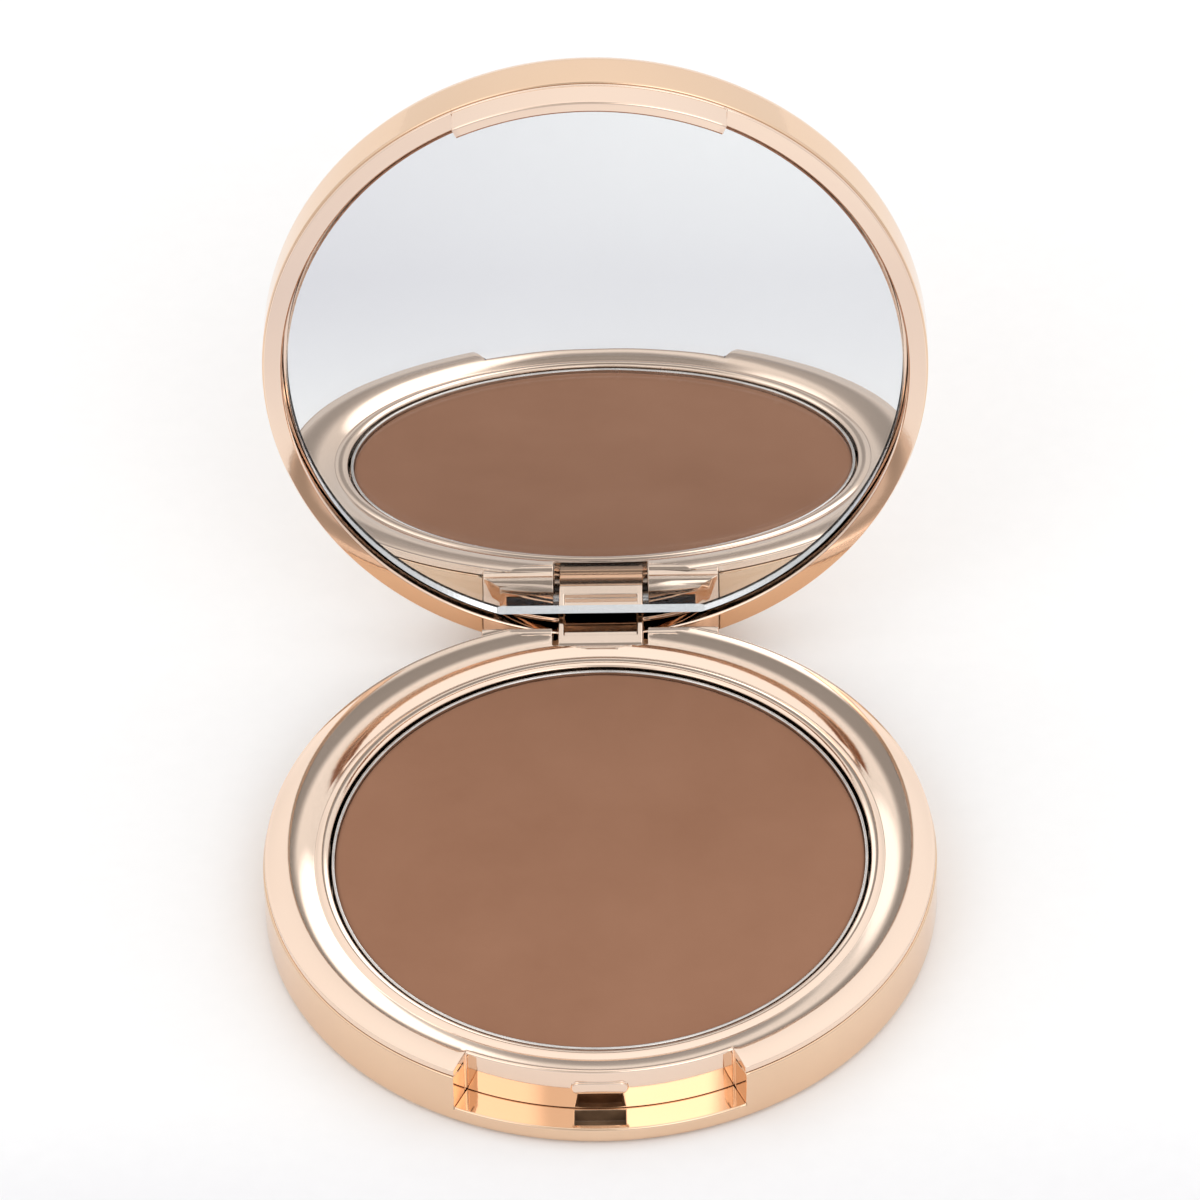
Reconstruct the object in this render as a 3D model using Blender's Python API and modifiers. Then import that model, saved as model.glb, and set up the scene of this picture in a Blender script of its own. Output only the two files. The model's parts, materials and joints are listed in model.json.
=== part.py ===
"""Powder compact: a round base with a pressed-powder pan, and a mirror lid on a pin hinge.

Metres, +Z up.  The base stands on Z = 0 with its centre on the Z axis, the thumb recess
faces -Y and the hinge is at +Y.  The lid is modelled shut and then turned open about the
hinge, through the empty that its pieces are parented to.
"""
import math

import bmesh
import bpy

MM = 0.001

# Overall sizes
BODY_RADIUS = 37.5 * MM
LID_THICKNESS = 7.8 * MM
OPEN_DEG = 100.3
SHELL_STEPS = 72

# Clearances
GAP = 0.3 * MM
BOND_GAP = 0.1 * MM
SHUT_GAP = 0.2 * MM

# Base shell
SHELL_WALL = 1.3 * MM
SHELL_FLOOR = 1.2 * MM
UNDER_WELL = 0.9 * MM
FOOT_ROUND = 1.8 * MM
SEAM_DROP = 1.1 * MM

# Base frame: the band round the well
FRAME_INSET = 0.2 * MM
BAND_EDGE_DROP = 0.2 * MM
BAND_CROWN_INSET = 1.8 * MM
BAND_WIDTH = 5.6 * MM
CREASE_DROP = 0.8 * MM
BEAD_DROP = 0.6 * MM
LIP_DROP = 0.85 * MM
EDGE_ROUND = 0.25 * MM
FLANGE_THICKNESS = 0.8 * MM
WELL_RADIUS = 30.2 * MM
WELL_WALL = 1.0 * MM
WELL_FLOOR = 0.9 * MM

# Pan and powder
PAN_CLEARANCE = 0.5 * MM
PAN_HEIGHT = 3.8 * MM
PAN_WALL = 0.4 * MM
PAN_BELOW_LIP = 0.15 * MM
POWDER_BELOW_RIM = 0.35 * MM
POWDER_CLEARANCE = 0.12 * MM
TAPE_THICKNESS = 0.2 * MM
PAN_TAPE_INSET = 5.7 * MM
MIRROR_TAPE_INSET = 4.8 * MM

# Thumb recess, its catch and the slot in its floor
RECESS_HALF_DEG = 25.2
RECESS_DEPTH = 3.2 * MM
RECESS_FLOOR = 2.4 * MM
RECESS_END_WALL = 1.2 * MM
SKIRT_THICKNESS = 1.1 * MM
SKIRT_SPARE = 0.4 * MM
CATCH_WIDTH = 6.2 * MM
CATCH_HEIGHT = 1.8 * MM
CATCH_PROUD = 0.5 * MM
CATCH_BELOW_TOP = 2.3 * MM
SLOT_WIDTH = 5.6 * MM
SLOT_WALL = 0.8 * MM
SLOT_FLOOR = 0.7 * MM

# Hinge
HINGE_INSET = 2.2 * MM
HINGE_BELOW_TOP = 4.1 * MM
PIN_RADIUS = 0.75 * MM
PIN_LENGTH = 26.0 * MM
PIN_STEPS = 24
LUG_BORE_CLEARANCE = 0.15 * MM
KNUCKLE_RADIUS = 1.9 * MM
KNUCKLE_WIDTH = 9.6 * MM
NOTCH_SIDE_CLEARANCE = 0.65 * MM
BLOCK_WIDTH = 27.0 * MM
BLOCK_ROUND = 2.7 * MM
BLOCK_BELOW_KNUCKLE = 0.4 * MM

# Lid
LID_WALL = 1.2 * MM
LID_ROOF = 1.4 * MM
ROOF_ROUND = 2.5 * MM
RIM_WIDTH = 2.1 * MM
RIM_FLANGE = 0.5 * MM
SEAT_PLATE = 1.0 * MM
MIRROR_CLEARANCE = 0.4 * MM
MIRROR_SET_BACK = 1.0 * MM
MIRROR_THICKNESS = 1.1 * MM
MIRROR_BEVEL = 0.25 * MM
CHORD_CLEARANCE = 0.7 * MM
TAB_SIDE_DEG = 1.0
TAB_LENGTH = 3.6 * MM
TAB_THICKNESS = 1.4 * MM
LATCH_HALF_DEG = 5.0
LATCH_HEIGHT = 0.8 * MM

# Places that follow from the sizes
WELL_Z = SHELL_FLOOR + UNDER_WELL + WELL_FLOOR
PAN_TAPE_Z = WELL_Z + BOND_GAP
PAN_Z = PAN_TAPE_Z + TAPE_THICKNESS + BOND_GAP
PAN_RIM_Z = PAN_Z + PAN_HEIGHT
LIP_Z = PAN_RIM_Z + PAN_BELOW_LIP
TOP = LIP_Z + LIP_DROP
BAND_RADIUS = BODY_RADIUS - FRAME_INSET
BAND_EDGE_Z = TOP - BAND_EDGE_DROP
SEAM_Z = TOP - SEAM_DROP
FLANGE_Z = SEAM_Z + GAP
PAN_RADIUS = WELL_RADIUS - PAN_CLEARANCE
PAN_TAPE_RADIUS = PAN_RADIUS - PAN_TAPE_INSET
POWDER_RADIUS = PAN_RADIUS - PAN_WALL - POWDER_CLEARANCE
RECESS_RADIUS = BODY_RADIUS - RECESS_DEPTH
SKIRT_RADIUS = RECESS_RADIUS + SKIRT_SPARE
SKIRT_Z = RECESS_FLOOR + GAP
SHELL_INNER = BODY_RADIUS - SHELL_WALL
HINGE_Y = BODY_RADIUS - HINGE_INSET
HINGE_Z = TOP - HINGE_BELOW_TOP
BLOCK_BACK = BAND_RADIUS
BLOCK_FLOOR = HINGE_Z - KNUCKLE_RADIUS - BLOCK_BELOW_KNUCKLE
NOTCH_HALF = KNUCKLE_WIDTH / 2 + NOTCH_SIDE_CLEARANCE
NOTCH_FRONT = HINGE_Y - KNUCKLE_RADIUS - GAP
RIM_Z = TOP + SHUT_GAP
ROOF_Z = RIM_Z + LID_THICKNESS
LID_INNER = BODY_RADIUS - LID_WALL
RIM_INNER = BAND_RADIUS - RIM_WIDTH
MIRROR_RADIUS = RIM_INNER - MIRROR_CLEARANCE
MIRROR_TAPE_RADIUS = MIRROR_RADIUS - MIRROR_TAPE_INSET
CHORD_Y = HINGE_Y - KNUCKLE_RADIUS - CHORD_CLEARANCE
TAB_HALF_DEG = RECESS_HALF_DEG - TAB_SIDE_DEG
MIRROR_Z = RIM_Z + MIRROR_SET_BACK
MIRROR_TAPE_Z = MIRROR_Z + MIRROR_THICKNESS + BOND_GAP
SEAT_Z = MIRROR_TAPE_Z + TAPE_THICKNESS + BOND_GAP
PLATE_Z = SEAT_Z + SEAT_PLATE
REACH = 3 * BODY_RADIUS
OVERLAP = 0.2 * MM


def clear_scene():
    for obj in list(bpy.data.objects):
        bpy.data.objects.remove(obj, do_unlink=True)


def new_collection(name):
    collection = bpy.data.collections.new(name)
    bpy.context.scene.collection.children.link(collection)
    return collection


def material(name, colour, metallic, roughness):
    mat = bpy.data.materials.new(name)
    mat.use_nodes = True
    shader = mat.node_tree.nodes["Principled BSDF"]
    shader.inputs["Base Color"].default_value = (*colour, 1.0)
    shader.inputs["Metallic"].default_value = metallic
    shader.inputs["Roughness"].default_value = roughness
    return mat


def corner_arc(before, corner, after, radius, steps=4):
    """Points of a fillet of the given radius at a corner of an outline."""
    to_before = (before[0] - corner[0], before[1] - corner[1])
    to_after = (after[0] - corner[0], after[1] - corner[1])
    len_before = math.hypot(*to_before)
    len_after = math.hypot(*to_after)
    unit_b = (to_before[0] / len_before, to_before[1] / len_before)
    unit_a = (to_after[0] / len_after, to_after[1] / len_after)
    cosine = unit_b[0] * unit_a[0] + unit_b[1] * unit_a[1]
    half = math.acos(max(-1.0, min(1.0, cosine))) / 2
    run = min(radius / math.tan(half), 0.45 * len_before, 0.45 * len_after)
    start = (corner[0] + unit_b[0] * run, corner[1] + unit_b[1] * run)
    end = (corner[0] + unit_a[0] * run, corner[1] + unit_a[1] * run)
    reach = run / math.cos(half)
    bisector = (unit_b[0] + unit_a[0], unit_b[1] + unit_a[1])
    size = math.hypot(*bisector)
    centre = (corner[0] + bisector[0] / size * reach, corner[1] + bisector[1] / size * reach)
    first = math.atan2(start[1] - centre[1], start[0] - centre[0])
    last = math.atan2(end[1] - centre[1], end[0] - centre[0])
    turn = (last - first + math.pi) % (2 * math.pi) - math.pi
    rim = math.hypot(start[0] - centre[0], start[1] - centre[1])
    angles = [first + turn * i / steps for i in range(steps + 1)]
    return [(centre[0] + rim * math.cos(a), centre[1] + rim * math.sin(a)) for a in angles]


def outline(points, closed=False):
    """Turns (x, z) and (x, z, fillet radius) corners into a plain list of points."""
    result = []
    count = len(points)
    for i, point in enumerate(points):
        inner = closed or 0 < i < count - 1
        if len(point) == 3 and inner:
            before = points[i - 1]
            after = points[(i + 1) % count]
            result += corner_arc(before[:2], point[:2], after[:2], point[2])
        else:
            result.append(point[:2])
    return result


def arc_through(first, middle, last, steps):
    """Points on the circular arc from first to last that passes through middle."""
    ax, ay = first
    bx, by = middle
    cx, cy = last
    d = 2 * (ax * (by - cy) + bx * (cy - ay) + cx * (ay - by))
    a2, b2, c2 = ax * ax + ay * ay, bx * bx + by * by, cx * cx + cy * cy
    ox = (a2 * (by - cy) + b2 * (cy - ay) + c2 * (ay - by)) / d
    oy = (a2 * (cx - bx) + b2 * (ax - cx) + c2 * (bx - ax)) / d
    radius = math.hypot(ax - ox, ay - oy)
    start = math.atan2(ay - oy, ax - ox)
    end = math.atan2(cy - oy, cx - ox)
    turn = (end - start + math.pi) % (2 * math.pi) - math.pi
    angles = [start + turn * i / steps for i in range(steps + 1)]
    return [(ox + radius * math.cos(a), oy + radius * math.sin(a)) for a in angles]


def add_object(name, mesh, collection, mat=None, holder=None):
    """Links a mesh as an object; with a holder, its points are given as if the lid were shut."""
    obj = bpy.data.objects.new(name, mesh)
    collection.objects.link(obj)
    if mat:
        mesh.materials.append(mat)
    if holder:
        obj.parent = holder
        obj.location = (0, -HINGE_Y, -HINGE_Z)
    return obj


def mesh_from_bmesh(name, bm):
    bmesh.ops.recalc_face_normals(bm, faces=bm.faces)
    mesh = bpy.data.meshes.new(name)
    bm.to_mesh(mesh)
    bm.free()
    return mesh


def turned(name, profile, collection, mat, holder=None, steps=SHELL_STEPS):
    """A solid turned about Z from an outline that runs down its outer side."""
    points = [(r, 0, z) for r, z in profile]
    edges = [(i, i + 1) for i in range(len(points) - 1)]
    mesh = bpy.data.meshes.new(name)
    mesh.from_pydata(points, edges, [])
    obj = add_object(name, mesh, collection, mat, holder)
    screw = obj.modifiers.new("turn", "SCREW")
    screw.axis = "Z"
    screw.angle = 2 * math.pi
    screw.steps = steps
    screw.render_steps = steps
    screw.use_merge_vertices = True
    screw.merge_threshold = 0.00001
    return obj


def sector(name, r0, r1, z0, z1, half_deg, middle_deg, collection, mat=None, holder=None):
    """A block of ring: radii, heights, and half its angle either side of middle_deg from -Y."""
    start = math.radians(middle_deg - half_deg - 90)
    sweep = math.radians(2 * half_deg)
    bm = bmesh.new()
    corners = [(r0, z0), (r1, z0), (r1, z1), (r0, z1)]
    verts = [bm.verts.new((r * math.cos(start), r * math.sin(start), z)) for r, z in corners]
    face = bm.faces.new(verts)
    steps = max(1, round(2 * half_deg / (360 / SHELL_STEPS)))
    bmesh.ops.spin(bm, geom=[face], cent=(0, 0, 0), axis=(0, 0, 1), angle=sweep, steps=steps)
    return add_object(name, mesh_from_bmesh(name, bm), collection, mat, holder)


def block(name, x, y, z, collection, mat=None, holder=None):
    """A box between the given (low, high) pairs."""
    bm = bmesh.new()
    bmesh.ops.create_cube(bm, size=1.0)
    size = (x[1] - x[0], y[1] - y[0], z[1] - z[0])
    centre = ((x[0] + x[1]) / 2, (y[0] + y[1]) / 2, (z[0] + z[1]) / 2)
    bmesh.ops.scale(bm, vec=size, verts=bm.verts)
    bmesh.ops.translate(bm, vec=centre, verts=bm.verts)
    return add_object(name, mesh_from_bmesh(name, bm), collection, mat, holder)


def rod(name, radius, length, collection, mat=None, holder=None, steps=PIN_STEPS):
    """A round bar along X on the hinge axis."""
    bm = bmesh.new()
    bmesh.ops.create_cone(
        bm, cap_ends=True, segments=steps, radius1=radius, radius2=radius, depth=length
    )
    for vert in bm.verts:
        vert.co = (vert.co.z, HINGE_Y + vert.co.x, HINGE_Z + vert.co.y)
    return add_object(name, mesh_from_bmesh(name, bm), collection, mat, holder)


def prism(name, profile, half_width, collection, holder=None):
    """A bar along X with the given (y, z) section."""
    bm = bmesh.new()
    face = bm.faces.new([bm.verts.new((-half_width, y, z)) for y, z in profile])
    made = bmesh.ops.extrude_face_region(bm, geom=[face])
    moved = [v for v in made["geom"] if isinstance(v, bmesh.types.BMVert)]
    bmesh.ops.translate(bm, vec=(2 * half_width, 0, 0), verts=moved)
    return add_object(name, mesh_from_bmesh(name, bm), collection, None, holder)


def combine(obj, tool, operation):
    """Cuts a tool from an object or joins it on; the tool itself isn't part of the model."""
    tool.hide_render = True
    tool.display_type = "WIRE"
    boolean = obj.modifiers.new(tool.name, "BOOLEAN")
    boolean.operation = operation
    boolean.solver = "EXACT"
    boolean.object = tool


def cut(obj, *tools):
    for tool in tools:
        combine(obj, tool, "DIFFERENCE")


def join(obj, *tools):
    for tool in tools:
        combine(obj, tool, "UNION")


def base_shell(parts, cutters, mat):
    """The outer cup: wall, floor, the recess pocket and the opening for the hinge block."""
    profile = outline([
        (0, SHELL_FLOOR),
        (SHELL_INNER, SHELL_FLOOR, SHELL_FLOOR / 2),
        (SHELL_INNER, SEAM_Z),
        (BODY_RADIUS, SEAM_Z, EDGE_ROUND),
        (BODY_RADIUS, 0, FOOT_ROUND),
        (0, 0),
    ])
    shell = turned("base_shell", profile, parts, mat)
    inside = SHELL_INNER + OVERLAP
    low = SHELL_FLOOR - OVERLAP
    end_deg = math.degrees(RECESS_END_WALL / RECESS_RADIUS)
    reach_deg = RECESS_HALF_DEG + end_deg
    ledge_r = RECESS_RADIUS - SKIRT_THICKNESS
    ledge = sector("recess_ledge", ledge_r, inside, low, RECESS_FLOOR, reach_deg, 0, cutters)
    join(shell, ledge)
    for side in (-1, 1):
        middle = side * (RECESS_HALF_DEG + end_deg / 2)
        wall_r = SKIRT_RADIUS + GAP
        end = sector(f"recess_end_{side}", wall_r, inside, low, SEAM_Z - OVERLAP,
                     end_deg / 2 + 0.1, middle, cutters)
        join(shell, end)
    thumb = sector("recess_in_shell", ledge_r - OVERLAP, REACH, RECESS_FLOOR, TOP + REACH,
                   RECESS_HALF_DEG, 0, cutters)
    slot_back = -(RECESS_RADIUS + OVERLAP)
    slot = block("recess_slot", (-SLOT_WIDTH / 2, SLOT_WIDTH / 2),
                 (SLOT_WALL - BODY_RADIUS, slot_back), (SLOT_FLOOR, TOP), cutters)
    hinge_half = BLOCK_WIDTH / 2 + GAP
    opening = block("hinge_opening", (-hinge_half, hinge_half), (HINGE_Y - BLOCK_ROUND * 2, REACH),
                    (BLOCK_FLOOR - GAP, TOP + REACH), cutters)
    cut(shell, thumb, slot, opening)
    return shell


def frame_profile():
    """The frame's section from the middle of the well floor, over the band, and back under."""
    crease = (BAND_RADIUS - BAND_WIDTH, TOP - CREASE_DROP)
    lip = (WELL_RADIUS, LIP_Z)
    bead_top = ((crease[0] + lip[0]) / 2, TOP - BEAD_DROP)
    band_edge = (BAND_RADIUS - EDGE_ROUND, BAND_EDGE_Z)
    crown = (BODY_RADIUS - BAND_CROWN_INSET, TOP)
    bead = arc_through(lip, bead_top, crease, 4)
    band = arc_through(crease, crown, band_edge, 6)[1:]
    well_outer = WELL_RADIUS + WELL_WALL
    skirt_inner = RECESS_RADIUS - SKIRT_THICKNESS
    under = FLANGE_Z - FLANGE_THICKNESS
    sides = outline([
        band[-1],
        (BAND_RADIUS, BAND_EDGE_Z, EDGE_ROUND),
        (BAND_RADIUS, FLANGE_Z),
        (SKIRT_RADIUS, FLANGE_Z),
        (SKIRT_RADIUS, SKIRT_Z),
        (skirt_inner, SKIRT_Z),
        (skirt_inner, under),
        (well_outer, under),
        (well_outer, WELL_Z - WELL_FLOOR),
        (0, WELL_Z - WELL_FLOOR),
    ])
    return [(0, WELL_Z), (WELL_RADIUS, WELL_Z)] + bead + band + sides[1:]


def catch_solid(cutters):
    """The long round-ended bead that the lid's tab snaps past."""
    radius = CATCH_HEIGHT / 2
    run = CATCH_WIDTH / 2 - radius
    centre_z = TOP - CATCH_BELOW_TOP
    steps = 6
    right = [(run + radius * math.cos(a), radius * math.sin(a))
             for a in [math.pi * (i / steps - 0.5) for i in range(steps + 1)]]
    left = [(-x, -z) for x, z in right]
    bm = bmesh.new()
    front = -(RECESS_RADIUS + CATCH_PROUD)
    face = bm.faces.new([bm.verts.new((x, front, centre_z + z)) for x, z in right + left])
    made = bmesh.ops.extrude_face_region(bm, geom=[face])
    moved = [v for v in made["geom"] if isinstance(v, bmesh.types.BMVert)]
    depth = CATCH_PROUD + SKIRT_THICKNESS / 2
    bmesh.ops.translate(bm, vec=(0, depth, 0), verts=moved)
    return add_object("catch", mesh_from_bmesh("catch", bm), cutters)


def base_frame(parts, cutters, mat):
    """The band, the pan's well, the wall behind the recess and the hinge block."""
    frame = turned("base_frame", frame_profile(), parts, mat)
    half = BLOCK_WIDTH / 2
    hinge_block = block("hinge_block", (-half, half), (NOTCH_FRONT - OVERLAP, BLOCK_BACK),
                        (BLOCK_FLOOR, BAND_EDGE_Z - EDGE_ROUND / 2), cutters)
    join(frame, hinge_block)
    back_y = BLOCK_BACK - BLOCK_ROUND
    back_z = TOP - BLOCK_ROUND
    steps = 6
    round_arc = [(back_y + BLOCK_ROUND * math.sin(a), back_z + BLOCK_ROUND * math.cos(a))
                 for a in [math.pi / 2 * i / steps for i in range(steps + 1)]]
    far = BLOCK_BACK + BLOCK_ROUND
    rounding = [(back_y, TOP + BLOCK_ROUND)] + round_arc + [(far, back_z), (far, TOP + BLOCK_ROUND)]
    corner = prism("block_round", rounding, half + OVERLAP, cutters)
    thumb = sector("recess_in_frame", RECESS_RADIUS, REACH, -TOP, TOP + REACH,
                   RECESS_HALF_DEG, 0, cutters)
    notch = block("hinge_notch", (-NOTCH_HALF, NOTCH_HALF), (NOTCH_FRONT, REACH),
                  (-TOP, TOP + REACH), cutters)
    bore = rod("pin_bore", PIN_RADIUS + LUG_BORE_CLEARANCE, BLOCK_WIDTH + 2 * GAP, cutters)
    cut(frame, corner, thumb, notch, bore)
    join(frame, catch_solid(cutters))
    return frame


def pan(parts, mat):
    """The pressed metal tray."""
    inner = PAN_RADIUS - PAN_WALL
    floor = PAN_Z + PAN_WALL
    profile = outline([
        (0, floor),
        (inner, floor, PAN_WALL),
        (inner, PAN_RIM_Z),
        (PAN_RADIUS, PAN_RIM_Z),
        (PAN_RADIUS, PAN_Z, 2 * PAN_WALL),
        (0, PAN_Z),
    ])
    return turned("pan", profile, parts, mat)


def powder(parts, mat):
    """The pressed cake, a little below the pan's rim."""
    top = PAN_RIM_Z - POWDER_BELOW_RIM
    floor = PAN_Z + PAN_WALL + BOND_GAP
    profile = outline([
        (0, top),
        (POWDER_RADIUS, top, EDGE_ROUND),
        (POWDER_RADIUS, floor, 2 * PAN_WALL),
        (0, floor),
    ])
    return turned("powder", profile, parts, mat)


def tape(name, radius, z, parts, mat, holder=None):
    """A disc of double-sided tape."""
    profile = [(0, z + TAPE_THICKNESS), (radius, z + TAPE_THICKNESS), (radius, z), (0, z)]
    return turned(name, profile, parts, mat, holder, SHELL_STEPS // 2)


def lid_cover(parts, mat, lid):
    """The outer cap of the lid."""
    low = RIM_Z + RIM_FLANGE + GAP
    roof = ROOF_Z - LID_ROOF
    profile = outline([
        (0, ROOF_Z),
        (BODY_RADIUS, ROOF_Z, ROOF_ROUND),
        (BODY_RADIUS, low),
        (LID_INNER, low),
        (LID_INNER, roof, ROOF_ROUND - LID_WALL),
        (0, roof),
    ])
    return turned("lid_cover", profile, parts, mat, lid)


def lid_frame(parts, cutters, mat, lid):
    """The rim, the mirror's seat, the front tab with its latch, and the hinge knuckle."""
    skirt = LID_INNER - GAP
    profile = outline([
        (0, PLATE_Z),
        (skirt, PLATE_Z),
        (skirt, RIM_Z + RIM_FLANGE),
        (BAND_RADIUS, RIM_Z + RIM_FLANGE),
        (BAND_RADIUS, RIM_Z, EDGE_ROUND),
        (RIM_INNER, RIM_Z, EDGE_ROUND),
        (RIM_INNER, SEAT_Z),
        (0, SEAT_Z),
    ])
    frame = turned("lid_frame", profile, parts, mat, lid)
    tab_low = RIM_Z + RIM_FLANGE / 2 - TAB_LENGTH
    tab_outer = BAND_RADIUS - OVERLAP / 2
    tab_inner = tab_outer - TAB_THICKNESS
    tab = sector("tab", tab_inner, tab_outer, tab_low, RIM_Z + RIM_FLANGE / 2,
                 TAB_HALF_DEG, 0, cutters, None, lid)
    latch = sector("latch", RECESS_RADIUS + CATCH_PROUD + GAP, tab_inner + OVERLAP,
                   tab_low + OVERLAP, tab_low + OVERLAP + LATCH_HEIGHT,
                   LATCH_HALF_DEG, 0, cutters, None, lid)
    back = HINGE_Y + KNUCKLE_RADIUS
    front = HINGE_Y - KNUCKLE_RADIUS
    steps = 12
    barrel = [(HINGE_Y - KNUCKLE_RADIUS * math.cos(a), HINGE_Z - KNUCKLE_RADIUS * math.sin(a))
              for a in [math.pi * i / steps for i in range(steps + 1)]]
    root = skirt - OVERLAP
    inside = [
        (back, RIM_Z + RIM_FLANGE / 2),
        (root, RIM_Z + RIM_FLANGE / 2),
        (root, PLATE_Z - SEAT_PLATE / 2),
        (front, PLATE_Z - SEAT_PLATE / 2),
    ]
    knuckle = prism("knuckle", barrel + inside, KNUCKLE_WIDTH / 2, cutters, lid)
    bore = rod("knuckle_bore", PIN_RADIUS + GAP, KNUCKLE_WIDTH + 2 * GAP, cutters, None, lid)
    join(frame, tab, latch, knuckle)
    cut(frame, bore)
    return frame


def mirror(parts, cutters, mat, lid):
    """The glass: a disc with a bevelled edge and one straight side at the hinge."""
    bm = bmesh.new()
    bmesh.ops.create_cone(
        bm, cap_ends=True, segments=SHELL_STEPS,
        radius1=MIRROR_RADIUS, radius2=MIRROR_RADIUS, depth=MIRROR_THICKNESS,
    )
    bmesh.ops.translate(bm, vec=(0, 0, MIRROR_Z + MIRROR_THICKNESS / 2), verts=bm.verts)
    glass = add_object("mirror", mesh_from_bmesh("mirror", bm), parts, mat, lid)
    chord = block("mirror_chord", (-REACH, REACH), (CHORD_Y, REACH), (-REACH, REACH),
                  cutters, None, lid)
    cut(glass, chord)
    bevel = glass.modifiers.new("edge", "BEVEL")
    bevel.width = MIRROR_BEVEL
    bevel.segments = 1
    bevel.limit_method = "ANGLE"
    bevel.angle_limit = math.radians(60)
    return glass


def smooth(parts):
    """Smooth shading with sharp edges kept."""
    for obj in parts.objects:
        if obj.type == "MESH":
            obj.data.shade_smooth()
            obj.data.set_sharp_from_angle(angle=math.radians(30))


def build():
    clear_scene()
    parts = new_collection("powder_compact")
    cutters = new_collection("cutters")
    gold = material("champagne_gold", (0.85, 0.67, 0.50), 1.0, 0.12)
    bright = material("pale_gold", (0.86, 0.72, 0.58), 1.0, 0.08)
    tray = material("tin_plate", (0.78, 0.77, 0.76), 1.0, 0.3)
    cake = material("pressed_powder", (0.36, 0.18, 0.10), 0.0, 0.95)
    steel = material("pin_steel", (0.60, 0.59, 0.58), 1.0, 0.3)
    silver = material("mirror_glass", (0.93, 0.94, 0.95), 1.0, 0.01)
    glue = material("tape_white", (0.80, 0.80, 0.78), 0.0, 0.7)

    lid = bpy.data.objects.new("lid_axis", None)
    lid.location = (0, HINGE_Y, HINGE_Z)
    lid.rotation_euler = (math.radians(-OPEN_DEG), 0, 0)
    parts.objects.link(lid)

    base_shell(parts, cutters, gold)
    base_frame(parts, cutters, bright)
    tape("pan_tape", PAN_TAPE_RADIUS, PAN_TAPE_Z, parts, glue)
    pan(parts, tray)
    powder(parts, cake)
    rod("hinge_pin", PIN_RADIUS, PIN_LENGTH, parts, steel)
    lid_cover(parts, gold, lid)
    lid_frame(parts, cutters, bright, lid)
    tape("mirror_tape", MIRROR_TAPE_RADIUS, MIRROR_TAPE_Z, parts, glue, lid)
    mirror(parts, cutters, silver, lid)
    smooth(parts)


build()
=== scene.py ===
"""Looks of the powder compact: fine meshes, metal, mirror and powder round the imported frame."""
import json
import math

import bmesh
import bpy
import mathutils
from mathutils import Matrix, Vector

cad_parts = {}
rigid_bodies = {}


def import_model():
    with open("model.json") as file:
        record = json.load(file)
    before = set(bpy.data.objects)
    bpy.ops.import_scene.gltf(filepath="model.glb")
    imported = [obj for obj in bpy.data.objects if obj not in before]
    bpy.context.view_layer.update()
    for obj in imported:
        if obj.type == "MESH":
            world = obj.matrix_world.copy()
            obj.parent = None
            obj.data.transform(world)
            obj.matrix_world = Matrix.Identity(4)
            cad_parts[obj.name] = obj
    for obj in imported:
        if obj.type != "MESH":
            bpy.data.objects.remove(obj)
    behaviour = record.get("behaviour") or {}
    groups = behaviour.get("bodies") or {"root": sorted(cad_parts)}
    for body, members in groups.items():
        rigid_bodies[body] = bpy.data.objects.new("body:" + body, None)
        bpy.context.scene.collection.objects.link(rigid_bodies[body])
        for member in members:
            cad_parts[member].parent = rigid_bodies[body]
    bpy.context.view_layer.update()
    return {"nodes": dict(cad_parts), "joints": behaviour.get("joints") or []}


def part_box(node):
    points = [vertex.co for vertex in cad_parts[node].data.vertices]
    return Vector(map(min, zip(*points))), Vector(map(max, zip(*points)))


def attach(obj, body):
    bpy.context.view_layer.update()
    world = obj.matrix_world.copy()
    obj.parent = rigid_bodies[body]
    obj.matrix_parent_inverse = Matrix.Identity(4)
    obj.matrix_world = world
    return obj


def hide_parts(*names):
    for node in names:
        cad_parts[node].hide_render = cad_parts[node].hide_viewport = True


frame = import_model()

MM = 0.001

# Sizes read from the frame
SHELL_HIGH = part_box("base_shell")[1]
FRAME_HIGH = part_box("base_frame")[1]
PAN_LOW, PAN_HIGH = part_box("pan")
POWDER_LOW, POWDER_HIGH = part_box("powder")
JOINT = frame["joints"][0]
HINGE = Vector(JOINT["pos_m"])
OPEN = math.radians(JOINT["range_deg"][1])
BODY_RADIUS = SHELL_HIGH[0]
SEAM_Z = SHELL_HIGH[2]
TOP = FRAME_HIGH[2]
BAND_RADIUS = FRAME_HIGH[0]

# Sizes of the moulded details
GAP = 0.3 * MM
SEAM_GAP = 0.07 * MM
SHELL_WALL = 1.3 * MM
SHELL_FLOOR = 1.2 * MM
FOOT_ROUND = 1.8 * MM
BAND_EDGE_Z = TOP - 0.2 * MM
CROWN_RADIUS = BODY_RADIUS - 1.8 * MM
CREASE = (BAND_RADIUS - 5.6 * MM, TOP - 0.8 * MM)
BEAD_Z = TOP - 0.6 * MM
WELL_RADIUS = 30.2 * MM
LIP_Z = TOP - 0.85 * MM
WELL_WALL = 1.0 * MM
FLANGE_Z = SEAM_Z + SEAM_GAP
FLANGE_UNDER = SEAM_Z - 0.5 * MM
RECESS_RADIUS = 34.3 * MM
RECESS_FLOOR = 2.4 * MM
RECESS_DEG = 25.2
SKIRT_RADIUS = RECESS_RADIUS + 0.4 * MM
SKIRT_INNER = RECESS_RADIUS - 1.1 * MM
SKIRT_Z = RECESS_FLOOR + SEAM_GAP
EDGE = 0.25 * MM
RIM_Z = TOP + 0.2 * MM
ROOF_Z = RIM_Z + 7.8 * MM
ROOF_ROUND = 2.5 * MM
ROOF = 1.4 * MM
LID_WALL = 1.2 * MM
RIM_FLANGE = 0.5 * MM
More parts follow.
